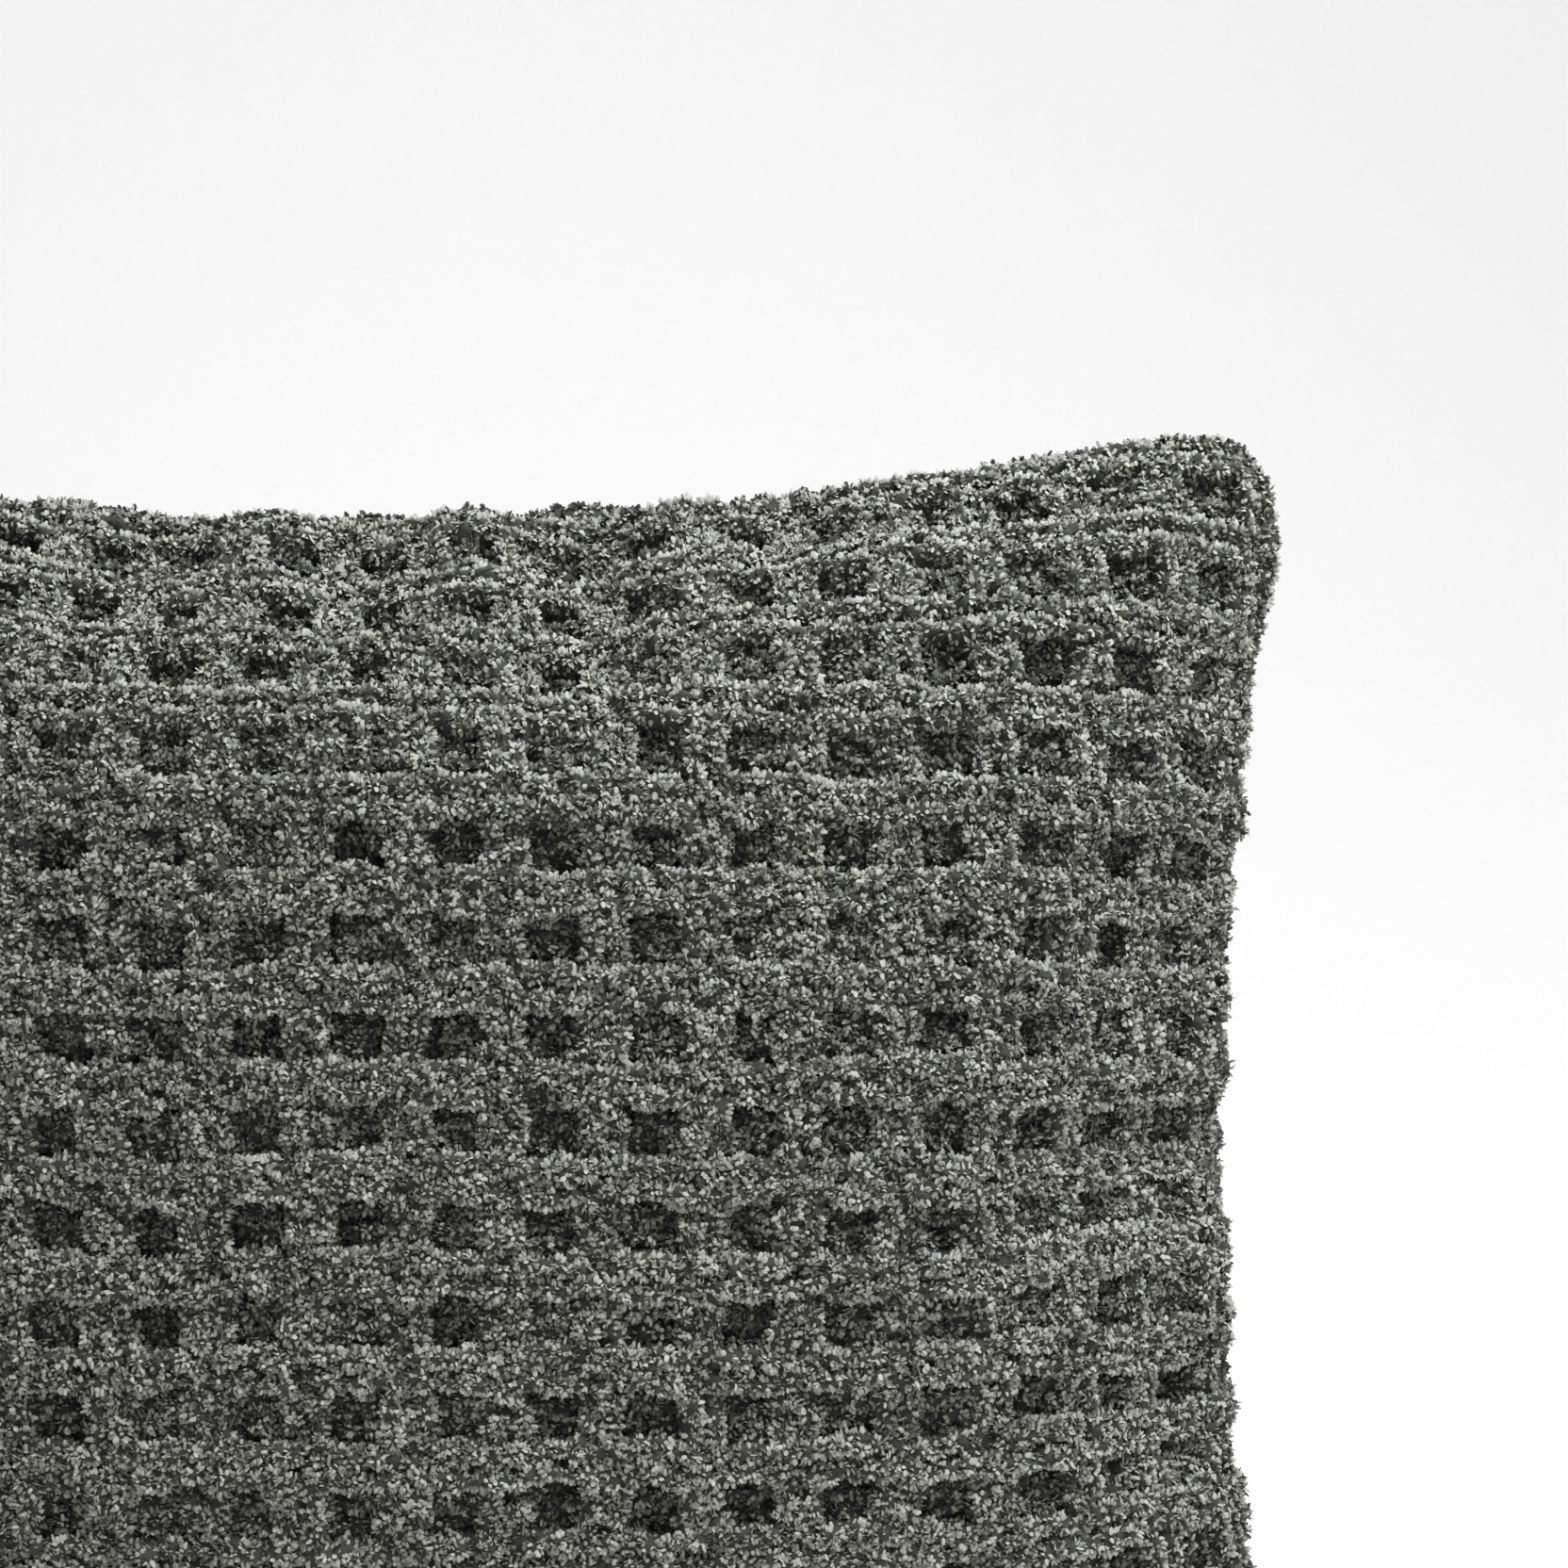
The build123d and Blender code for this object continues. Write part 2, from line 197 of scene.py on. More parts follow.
class PillowCloth(bpy.types.PropertyGroup):
    pitch: FloatProperty(
        name="Waffle pitch", default=23 * MM, unit="LENGTH",
        description="Across, from one upright ridge of the waffle to the next",
    )
    row_pitch: FloatProperty(
        name="Waffle row pitch", default=21.5 * MM, unit="LENGTH",
        description="Upwards, from one level ridge of the waffle to the next",
    )
    yarn_radius: FloatProperty(
        name="Yarn radius", default=2.9 * MM, unit="LENGTH",
        description="Radius of the chenille yarn without its loose pile",
    )
    ridge_height: FloatProperty(
        name="Ridge height", default=2.4 * MM, unit="LENGTH",
        description="From the middle of the cloth to a ridge yarn's centre",
    )
    pit_depth: FloatProperty(
        name="Pit depth", default=3.2 * MM, unit="LENGTH",
        description="From the middle of the cloth down to a pit yarn's centre",
    )
    pile_length: FloatProperty(
        name="Pile length", default=2.4 * MM, unit="LENGTH",
        description="Length of the longest strands of pile, about",
    )
    pile_width: FloatProperty(
        name="Pile width", default=1.2 * MM, unit="LENGTH",
        description="Width of one strand of pile at its widest, about",
    )
    pile_count: IntProperty(
        name="Pile strands",
        description="Strands of pile on each half panel",
        default=200000,
    )
    # Painted light and shade: the root colour stands for the shade at the pile's roots and in the
    # pits, the tip colour for light on its tips and ridges; the middle colour is the pile's own.
    pile_tip_painted_light: StringProperty(name="Pile tip colour", description="sRGB hex", default="9a9c93")
    pile_middle: StringProperty(
        name="Pile middle colour", description="sRGB hex", default="484a44"
    )
    pile_root_painted_shade: StringProperty(name="Pile root colour", description="sRGB hex", default="0d0e0b")


class PillowStage(bpy.types.PropertyGroup):
    distance: FloatProperty(
        name="Camera distance", default=0.9, unit="LENGTH",
        description="From the seam plane to the camera",
    )
    framed: FloatProperty(
        name="Framed width", default=0.388, unit="LENGTH",
        description="Width of the view at the seam plane",
    )
    aim_x: FloatProperty(
        name="Aim across", default=0.101, unit="LENGTH",
        description="From the middle of the pillow to the middle of the view",
    )
    aim_z: FloatProperty(
        name="Aim up", default=0.0847, unit="LENGTH",
        description="From the middle of the pillow to the middle of the view",
    )
    key_power: FloatProperty(
        name="Key light", description="Power of the large light above", default=25.0, unit="POWER"
    )
    back_power: FloatProperty(
        name="Backdrop light", description="Power of the light behind", default=20.5, unit="POWER"
    )
    world_grey: FloatProperty(
        name="Surround", description="Brightness of the surround", default=0.1
    )


# ---- materials


def linear(hex_colour):
    """Linear RGBA from an sRGB hex colour."""
    parts = [int(hex_colour[i : i + 2], 16) / 255 for i in (0, 2, 4)]
    curve = [p / 12.92 if p <= 0.04045 else ((p + 0.055) / 1.055) ** 2.4 for p in parts]
    return (*curve, 1.0)


def node(tree, kind, settings=None, links=None, **values):
    """Adds a node: settings are its attributes, values its inputs, links its inputs' sources."""
    made = tree.nodes.new(kind)
    for name, value in (settings or {}).items():
        setattr(made, name, value)
    for name, value in values.items():
        made.inputs[name.replace("_", " ")].default_value = value
    for name, source in (links or {}).items():
        tree.links.new(source, made.inputs[name])
    return made


def blank(name):
    """A material, its node tree with only an output, that output, and the place on the piece."""
    material = bpy.data.materials.new(name)
    material.use_nodes = True
    tree = material.node_tree
    tree.nodes.clear()
    out = tree.nodes.new("ShaderNodeOutputMaterial")
    return material, tree, out, node(tree, "ShaderNodeTexCoord").outputs["Object"]


def ramp(tree, source, stops):
    """A colour ramp through (place, linear colour) stops."""
    made = node(tree, "ShaderNodeValToRGB", links={"Fac": source})
    elements = made.color_ramp.elements
    while len(elements) < len(stops):
        elements.new(0.5)
    for element, (place, colour) in zip(elements, stops):
        element.position = place
        element.color = colour
    return made.outputs["Color"]


def coat(tree, out, colour, grain, strength, depth_mm, **values):
    """A shader of a colour with a fine bump, linked to the output; values are its inputs."""
    bump = node(
        tree, "ShaderNodeBump", links={"Height": grain}, Strength=strength, Distance=depth_mm * MM
    ).outputs["Normal"]
    links = {"Base Color": colour, "Normal": bump}
    shader = node(tree, "ShaderNodeBsdfPrincipled", links=links, **values)
    tree.links.new(shader.outputs[0], out.inputs["Surface"])


def fine_noise(tree, place, size):
    """Noise with features of about this many millimetres."""
    links = {"Vector": place}
    noise = node(tree, "ShaderNodeTexNoise", links=links, Scale=in_mm(size), Detail=3.0)
    return noise.outputs["Fac"]


def in_mm(size):
    """A noise scale whose features are about this many millimetres."""
    return 1 / (size * MM)


def chenille_material(cloth, name, painted_shade_name):
    """Cotton and acrylic chenille: matt, soft at grazing angles, with painted shade at the roots
    of the pile and painted light at its tips, and fine fibres that catch the light one by one."""
    material, tree, out, place = blank(name)
    # The stored attribute carries painted shade and light, with the pile's own random tone.
    height = node(tree, "ShaderNodeAttribute", {"attribute_name": painted_shade_name}).outputs["Fac"]
    fibres = fine_noise(tree, place, 0.8)
    mixed = node(tree, "ShaderNodeMath", {"operation": "MULTIPLY_ADD"}, {0: fibres, 2: height})
    mixed.inputs[1].default_value = FIBRE_SHADE
    colour = ramp(
        tree,
        mixed.outputs[0],
        [
            (FIBRE_SHADE / 2, linear(cloth.pile_root_painted_shade)),
            (FIBRE_SHADE / 2 + 0.5, linear(cloth.pile_middle)),
            (1.0, linear(cloth.pile_tip_painted_light)),
        ],
    )
    soft = {"Roughness": 0.9, "Sheen_Weight": 0.15, "Sheen_Roughness": 0.5}
    coat(tree, out, colour, fibres, 0.8, 0.4, Specular_IOR_Level=0.3, **soft)
    return material


def woven_material(name, light, dark, thread_mm, roughness=0.8):
    """Plain-woven cloth: two sets of fine threads, matt with a little sheen. The threads are
    drawn at the spacing given, which is coarse enough to show."""
    material, tree, out, place = blank(name)
    bands = [
        node(
            tree,
            "ShaderNodeTexWave",
            {"bands_direction": way},
            {"Vector": place},
            Scale=in_mm(thread_mm) / 20,
            Distortion=0.4,
        ).outputs["Fac"]
        for way in ("X", "Z")
    ]
    weave = node(tree, "ShaderNodeMath", {"operation": "MULTIPLY"}, {0: bands[0], 1: bands[1]})
    colour = ramp(tree, weave.outputs[0], [(0.0, linear(dark)), (1.0, linear(light))])
    coat(tree, out, colour, weave.outputs[0], 0.4, 0.1, Roughness=roughness, Sheen_Weight=0.15)
    return material


def grained_material(name, light, dark, grain_mm, roughness, metallic=0.0, bump_mm=0.05):
    """A solid finish with a fine grain: nylon as extruded, zinc as cast and enamelled, spun
    thread or loose fibre, by its colours, roughness and grain."""
    material, tree, out, place = blank(name)
    grain = fine_noise(tree, place, grain_mm)
    colour = ramp(tree, grain, [(0.3, linear(dark)), (0.7, linear(light))])
    coat(tree, out, colour, grain, 0.5, bump_mm, Roughness=roughness, Metallic=metallic)
    return material


# ---- noise


def lattice(x, y, seed):
    """Repeatable random numbers from 0 to 1 at whole-number places."""
    n = (x * 374761393 + y * 668265263 + seed * 974634777) & 0xFFFFFFFF
    n = ((n ^ (n >> 13)) * 1274126177) & 0xFFFFFFFF
    return ((n ^ (n >> 16)) & 0xFFFFFF) / 0xFFFFFF


def smooth_noise(x, y, size, seed):
    """Value noise from -1 to 1 with features of a size."""
    x, y = x / size, y / size
    i, j = np.floor(x).astype(np.int64), np.floor(y).astype(np.int64)
    u, v = ease(x - i), ease(y - j)
    low = lattice(i, j, seed) * (1 - u) + lattice(i + 1, j, seed) * u
    high = lattice(i, j + 1, seed) * (1 - u) + lattice(i + 1, j + 1, seed) * u
    return (low * (1 - v) + high * v) * 2 - 1


def ease(t):
    """Smooth step from 0 to 1."""
    t = np.clip(t, 0, 1)
    return t * t * (3 - 2 * t)


# ---- meshes


def make_mesh(name, points, faces):
    """A smooth-shaded mesh object from an array of points and faces of equal corner count, or
    from a list of such face arrays."""
    groups = faces if isinstance(faces, list) else [faces]
    corners = np.concatenate([g.ravel() for g in groups])
    counts = np.concatenate([np.full(len(g), g.shape[1]) for g in groups])
    mesh = bpy.data.meshes.new(name)
    mesh.vertices.add(len(points))
    mesh.vertices.foreach_set("co", points.astype(np.float32).ravel())
    mesh.loops.add(len(corners))
    mesh.loops.foreach_set("vertex_index", corners.astype(np.int32))
    mesh.polygons.add(len(counts))
    starts = np.concatenate([[0], np.cumsum(counts)[:-1]])
    mesh.polygons.foreach_set("loop_start", starts.astype(np.int32))
    mesh.update(calc_edges=True)
    mesh.validate()
    mesh.polygons.foreach_set("use_smooth", np.ones(len(mesh.polygons), bool))
    made = bpy.data.objects.new(name, mesh)
    bpy.context.scene.collection.objects.link(made)
    return made


def set_attribute(piece, name, values):
    """Stores one number at each point of a piece, for its material."""
    attribute = piece.data.attributes.new(name, "FLOAT", "POINT")
    attribute.data.foreach_set("value", values.astype(np.float32).ravel())


def grid_quads(index, outward):
    """Quads over a grid of vertex numbers, facing -Y for the front and +Y for the back."""
    quads = np.stack(
        [index[:-1, :-1], index[:-1, 1:], index[1:, 1:], index[1:, :-1]], -1
    ).reshape(-1, 4)
    return quads if outward == FRONT else quads[:, ::-1]


def settle(piece, material, slot, *nodes):
    """Gives a piece its material, and has it ride on the pillow for its CAD nodes."""
    piece.data.materials.clear()
    piece.data.materials.append(material)
    if nodes:
        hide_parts(*nodes)
    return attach(piece, "pillow")


# ---- the bag of cloth


def cut_cloth():
    """Flat places of the panel's grid points: a rectangle with its corners sewn round."""
    across, up = np.meshgrid(
        np.linspace(-CUT_WIDTH / 2, CUT_WIDTH / 2, CELLS_ACROSS + 1),
        np.linspace(-CUT_HEIGHT / 2, CUT_HEIGHT / 2, CELLS_UP + 1),
    )
    straight_x, straight_z = CUT_WIDTH / 2 - CORNER_RADIUS, CUT_HEIGHT / 2 - CORNER_RADIUS
    over_x = np.maximum(np.abs(across) - straight_x, 0)
    over_z = np.maximum(np.abs(up) - straight_z, 0)
    in_corner = (over_x > 0) & (over_z > 0)
    reach = np.maximum(np.hypot(over_x, over_z), 1e-9)
    keep = np.where(in_corner, np.maximum(over_x, over_z) / reach, 1)
    flat_x = np.sign(across) * (np.minimum(np.abs(across), straight_x) + over_x * keep)
    flat_z = np.sign(up) * (np.minimum(np.abs(up), straight_z) + over_z * keep)
    return flat_x, flat_z


def two_sided(name, front, back):
    """One closed surface from two grids that share their border."""
    rows, columns = front.shape[:2]
    count = rows * columns
    index = np.arange(count).reshape(rows, columns)
    inner = np.zeros((rows, columns), bool)
    inner[1:-1, 1:-1] = True
    behind = index.copy()
    behind[inner] = count + np.arange(inner.sum())
    points = np.concatenate([front.reshape(-1, 3), back[inner]])
    faces = np.concatenate([grid_quads(index, FRONT), grid_quads(behind, BACK)])
    return make_mesh(name, points, faces)


def inflate_bag(flat_x, flat_z):
    """Two panels sewn at the edge and filled: a cloth simulation under pressure. The cloth
    resists stretching but gathers easily, as thick chenille does at a seam."""
    rows, columns = flat_x.shape
    from_edge = np.minimum(
        1 - np.abs(np.linspace(-1, 1, columns))[None, :],
        1 - np.abs(np.linspace(-1, 1, rows))[:, None],
    )
    puff = STARTING_PUFF * np.sqrt(np.clip(from_edge * 4, 0, 1))
    flat = [np.stack([flat_x, side * puff, flat_z], -1) for side in (FRONT, BACK)]
    bag = two_sided("bag", *flat)
    modifier = bag.modifiers.new("cloth", "CLOTH")
    cloth = modifier.settings
    cloth.quality = 5
    cloth.mass = 0.3
    cloth.air_damping = 2.0
    cloth.tension_stiffness = 60
    cloth.compression_stiffness = 4
    cloth.shear_stiffness = 8
    cloth.bending_stiffness = 60
    cloth.tension_damping = cloth.compression_damping = cloth.shear_damping = 5
    cloth.use_pressure = True
    cloth.uniform_pressure_force = INFLATE_PRESSURE
    cloth.effector_weights.gravity = 0
    modifier.collision_settings.use_collision = False
    modifier.collision_settings.use_self_collision = False
    modifier.point_cache.frame_end = INFLATE_FRAMES
    scene = bpy.context.scene
    for step in range(1, INFLATE_FRAMES + 1):
        scene.frame_set(step)
    done = bag.evaluated_get(bpy.context.evaluated_depsgraph_get()).data
    out = np.zeros(len(done.vertices) * 3)
    done.vertices.foreach_get("co", out)
    out = out.reshape(-1, 3)
    front = out[: rows * columns].reshape(rows, columns, 3)
    back = front.copy()
    back[1:-1, 1:-1] = out[rows * columns :].reshape(rows - 2, columns - 2, 3)
    mesh = bag.data
    bpy.data.objects.remove(bag)
    bpy.data.meshes.remove(mesh)
    scene.frame_set(1)
    return front, back


def relax(panel, times):
    """Averages each inner point with its neighbours, and each edge point along the edge."""
    for _ in range(times):
        out = panel.copy()
        out[1:-1, 1:-1] = (
            panel[1:-1, 1:-1] * 2
            + (panel[:-2, 1:-1] + panel[2:, 1:-1] + panel[1:-1, :-2] + panel[1:-1, 2:]) / 2
        ) / 4
        for line in ((0, slice(None)), (-1, slice(None)), (slice(None), 0), (slice(None), -1)):
            run = panel[line]
            out[line][1:-1] = (run[:-2] + 2 * run[1:-1] + run[2:]) / 4
        panel = out
    return panel


def draw_in(points):
    """Pulls the side and top edges in between the corners, as the seam's gathering does."""
    reach = np.abs(points).reshape(-1, 3).max(0)
    beside = np.clip(np.abs(points[..., 0]) / (0.9 * reach[0]), 0, 1)
    above = np.clip(np.abs(points[..., 2]) / (0.8 * reach[2]), 0, 1)
    drawn = points.copy()
    drawn[..., 0] *= 1 - SIDE_GATHER * (1 - above**1.4)
    drawn[..., 2] *= 1 - np.where(points[..., 2] > 0, TOP_GATHER, 0) * (1 - beside**1.3)
    return drawn


def lifted(z, floor):
    """Heights pressed up to a floor where they are under it, with a soft turn."""
    return floor + (z - floor + np.hypot(z - floor, REST_BLEND)) / 2


@cache
def pillow_form():
    """The two panels' cloth as it stands, as grids of points, with their flat places."""
    flat_x, flat_z = cut_cloth()
    front, back = inflate_bag(flat_x, flat_z)
    both = np.stack([relax(front, SMOOTHING), relax(back, SMOOTHING)])
    low, high = both.reshape(-1, 3).min(0), both.reshape(-1, 3).max(0)
    width = HIGH[0] - LOW[0] - 2 * EDGE_PROUD
    thick = FACE_SHARE * (HIGH[1] - LOW[1]) - 2 * FACE_PROUD
    height = HIGH[2] - LOW[2] + SETTLE
    both = (both - (low + high) / 2) * (np.array([width, thick, height]) / (high - low))
    both = draw_in(both)
    both[..., 2] = lifted(both[..., 2] + HIGH[2] - height / 2, REST_HEIGHT)
    return flat_x, flat_z, both[0], both[1]


def finer_weights(count):
    """Weights that put FINER points along each cell of a line, on a smooth curve."""
    places = np.arange(count * FINER + 1) / FINER
    cell = np.minimum(places.astype(int), count - 1)
    t = places - cell
    parts = CURVE @ t ** np.arange(4)[:, None]
    weights = np.zeros((len(places), count + 1))
    rows = np.arange(len(places))
    for k, part in zip((-1, 0, 1, 2), parts):
        ends = np.clip(cell + k, 0, count)
        np.add.at(weights, (rows, ends), part)
    return weights


def finer(grid):
    """The grid at FINER times the points each way."""
    up, across = finer_weights(grid.shape[0] - 1), finer_weights(grid.shape[1] - 1)
    return np.einsum("ab,bc...->ac...", up, np.einsum("cb,ab...->ac...", across, grid))


def unit(vectors):
    """The vectors at length 1."""
    return vectors / np.maximum(np.linalg.norm(vectors, axis=-1, keepdims=True), 1e-12)


def normals_of(grid, side):
    """Outward unit normals of a grid of points."""
    along, up = np.gradient(grid, axis=1), np.gradient(grid, axis=0)
    found = unit(np.cross(along, up) * -side)
    found[0], found[-1] = found[1], found[-2]
    found[:, 0], found[:, -1] = found[:, 1], found[:, -2]
    return found


# ---- weave


def yarn_height(across, along, cloth, seed, s, t):
    """Height of one set of yarns over the cloth's middle, and the place across the yarn from
    -0.5 to 0.5. across and along are places in the waffle cell from -0.5 to 0.5."""
    number = np.floor(across * YARNS)
    from_centre = across * YARNS - number - 0.5
    on_ridge = np.abs(across) > RIDGE_FROM
    float_end = ease((np.abs(along) - FLOAT_FROM) / FLOAT_DIVE)
    ridge = cloth.ridge_height * (1 - RIDGE_SAG * float_end)
    pit = -cloth.pit_depth * (1 - float_end)
    centre = np.where(on_ridge, ridge, pit)
    swell = YARN_SWELL * smooth_noise(s, t, YARN_SWELL_SIZE, seed + 5)
    radius = cloth.yarn_radius * (1 + swell)
    spacing = cloth.pitch / YARNS
    off = np.clip(np.abs(from_centre) * spacing / radius, 0, 0.98)
    return centre + radius * (np.sqrt(1 - off**2) - 1), from_centre


def weave(s, t, cloth, seed):
    """The waffle weave at flat places s, t: its height over the cloth's middle, whether the
    weft is on top, and how far across the top yarn the place is, from -0.5 to 0.5."""
    for k, (sway, size) in enumerate(WANDER):
        s = s + sway * smooth_noise(s, t, size, seed + 2 * k)
        t = t + sway * smooth_noise(s, t, size, seed + 2 * k + 1)
    a = s / cloth.pitch - PHASE_X
    b = t / cloth.row_pitch - PHASE_Z
    a, b = a - np.round(a), b - np.round(b)
    warp, over_warp = yarn_height(a, b, cloth, seed + 20, s, t)
    weft, over_weft = yarn_height(b, a, cloth, seed + 40, s, t)
    warp = warp - WARP_DROP
    height = warp + CROSSING_BLEND * np.logaddexp(0, (weft - warp) / CROSSING_BLEND)
    fullness = smooth_noise(s, t, FULLNESS_SIZE, seed + 8)
    filled = np.where(height < 0, height * (1 - FULLNESS * (fullness + 1) / 2), height)
    height = filled + LUMPS * smooth_noise(s, t, LUMP_SIZE, seed + 9)
    weft_on_top = weft > warp
    return height, weft_on_top, np.where(weft_on_top, over_weft, over_warp)


def relief(s, t, cloth, side):
    """Weave with its tufts of pile."""
    out_x, out_y, own = tuft_centres(s, t, TUFT_SIZE, TUFT_SEED + side)
    tuft = np.clip(1 - (out_x**2 + out_y**2) / 0.6, -0.2, 1) * (0.6 + 0.6 * own) - 0.4
    return weave(s, t, cloth, WEAVE_SEED[side])[0] + TUFT_RELIEF * tuft


def open_zip(panel, flat_z, side):
    """Parts the panel's bottom edge from the seam plane along the zip."""
    along = ease((ZIP_HALF_LENGTH - np.abs(panel[..., 0])) / FOLD_END)
    near = 1 - ease((flat_z + CUT_HEIGHT / 2) / FOLD_BLEND)
    parted = panel.copy()
    parted[..., 1] += side * FOLD_OFFSET * along * near
    return parted


def hem(edge, side):
    """The bottom edge turned up beside the zip and out under its tape, as rows of points."""
    top = TAPE_LOW[2] - 0.3 * MM
    turn = np.linspace(0, 1, HEM_ROWS + 1)[1:, None]
    up = np.repeat(edge[None], HEM_ROWS, 0)
    up[..., 2] += (top - edge[None, :, 2]) * turn
    out = np.repeat(up[-1:], HEM_ROWS, 0)
    out[..., 1] += side * turn * (HEM_DEPTH - np.abs(up[-1:, :, 1]))
    return np.concatenate([up, out])


def rim(outer_loop, inner_loop):
    """Triangles between a fine loop and a coarse one, which share their first point's place."""
    fine, coarse = len(outer_loop), len(inner_loop)
    j = np.arange(fine)
    mate = inner_loop[np.round((j + 0.5) / fine * coarse).astype(int) % coarse]
    first = np.stack([outer_loop, outer_loop[(j + 1) % fine], mate], 1)
    change = np.where(mate != np.roll(mate, 1))[0]
    second = np.stack([outer_loop[change], mate[change], np.roll(mate, 1)[change]], 1)
    return np.concatenate([first, second])


def around(index):
    """What is on a grid's border, as a loop."""
    return np.concatenate([index[0, :-1], index[:-1, -1], index[-1, :0:-1], index[:0:-1, 0]])


def surface_ways(grid):
    """A grid's directions across and up at each of its points."""
    return unit(np.gradient(grid, axis=1)), unit(np.gradient(grid, axis=0))


def cover_panel(name, side, base, flat_x, flat_z, cloth):
    """One panel: the woven, tufted outside, its hem, a plain inside and the rim between."""
    s, t = finer(flat_x), finer(flat_z)
    fine = open_zip(finer(base), t, side)
    normals = normals_of(fine, side)
    across = 1 - np.abs(np.linspace(-1, 1, s.shape[1]))[None, :]
    up = 1 - np.abs(np.linspace(-1, 1, s.shape[0]))[:, None]
    from_edge = np.minimum(across * CUT_WIDTH / 2, up * CUT_HEIGHT / 2)
    grown = ease(from_edge / SEAM_WIDTH)
    height = relief(s, t, cloth, side)
    seeds = range(WEAVE_SEED[side] + 70, WEAVE_SEED[side] + 73)
    drift = np.stack([smooth_noise(s, t, DRIFT_SIZE, seed) for seed in seeds], -1)
    outer = fine + normals * ((CLOTH_MIDDLE + height) * grown)[..., None]
    outer += drift * DRIFT * grown[..., None]
    outer[..., 2] = np.maximum(outer[..., 2], PILE_FLATTENED)
    pile_way = unit(normals * (1.2 - grown)[..., None] + normals_of(outer, side))
    index = np.arange(s.size).reshape(s.shape)
    at_zip = np.where(np.abs(outer[0, :, 0]) < ZIP_HALF_LENGTH - FOLD_END / 2)[0]
    turned = hem(outer[0, at_zip], side)
    hem_index = index.size + np.arange(turned[..., 0].size).reshape(turned.shape[:2])
    hem_rows = np.concatenate([hem_index[::-1], index[0, at_zip][None]])
    inside = open_zip(base, flat_z, side) - normals_of(base, side) * INSIDE_DEPTH
    inside_index = hem_index.max() + 1 + np.arange(flat_x.size).reshape(flat_x.shape)
    loop = around(index)
    loop[at_zip] = hem_index[-1]
    faces = [
        np.concatenate(
            [grid_quads(index, side), grid_quads(hem_rows, side), grid_quads(inside_index, -side)]
        ),
        rim(loop, around(inside_index))[:, :: -side],
    ]
    points = np.concatenate([g.reshape(-1, 3) for g in (outer, turned, inside)])
    piece = make_mesh(name, points, faces)
    # Painted shade: the woven ground is coloured dark, as in the shade of its tufts, and lighter
    # on the ridges than down in the pits.
    painted_ground_shade = np.full(len(points), GAP_PAINTED_SHADE)
    painted_ground_shade[: index.size] += RIDGE_PAINTED_LIGHT * painted_pit_shade(height, cloth).ravel()
    set_attribute(piece, "pile_tone_and_painted_shade", painted_ground_shade)
    return piece, outer, pile_way, s, t


def painted_pit_shade(height, cloth):
    """Painted shade: how light the pile is painted at a height, dark down in the pits where shade
    falls, light on the ridges.
    """
    low = -cloth.pit_depth
    return np.clip((height - low) / (cloth.ridge_height - low), 0, 1)


def tuft_centres(s, t, size, seed):
    """For each flat place, the way from its tuft's centre in tufts' sizes, and the tuft."""
    x, y = s / size, t / size
    i, j = np.floor(x).astype(np.int64), np.floor(y).astype(np.int64)
    best = np.full(x.shape, 9.0)
    out_x, out_y, own = np.zeros(x.shape), np.zeros(x.shape), np.zeros(x.shape)
    for di in (-1, 0, 1):
        for dj in (-1, 0, 1):
            from_x = x - (i + di + lattice(i + di, j + dj, seed))
            from_y = y - (j + dj + lattice(i + di, j + dj, seed + 1))
            gap = from_x**2 + from_y**2
            nearer = gap < best
            best = np.where(nearer, gap, best)
            out_x = np.where(nearer, from_x, out_x)
            out_y = np.where(nearer, from_y, out_y)
            own = np.where(nearer, lattice(i + di, j + dj, seed + 2), own)
    return out_x, out_y, own


def on_grid(grid, r, c):
    """A grid's values at fractional rows and columns."""
    i, j = r.astype(int), c.astype(int)
    up, along = ((f % 1).reshape(-1, *[1] * (grid.ndim - 2)) for f in (r, c))
    left = grid[i, j] * (1 - up) + grid[i + 1, j] * up
    right = grid[i, j + 1] * (1 - up) + grid[i + 1, j + 1] * up
    return left * (1 - along) + right * along


def leaves(start, way, broad, outward, length, half, nod):
    """Six points of each strand: its root, its widest place, the fold there and its end."""
    mid = start + way * length * LEAF_MIDDLE
    tip = start + way * length + outward * length * nod
    blunt = broad * half * BLUNTNESS
    fold = mid + outward * half * LEAF_FOLD
    parts = [start, mid - broad * half, mid + broad * half, fold, tip - blunt, tip + blunt]
    return np.stack(parts, 1)


def kept_clear(points, side):
    """Keeps pile off the surface that the pillow stands on, and out of the zip's opening."""
    points[..., 2] = np.maximum(points[..., 2], LOWEST_PILE)
    by_zip = (np.abs(points[..., 0]) < ZIP_HALF_LENGTH) & (points[..., 2] < ZIP_CLEAR_HEIGHT)
    clear = side * np.maximum(points[..., 1] * side, SLOT_HALF_WIDTH)
    points[..., 1] = np.where(by_zip, clear, points[..., 1])
    return points


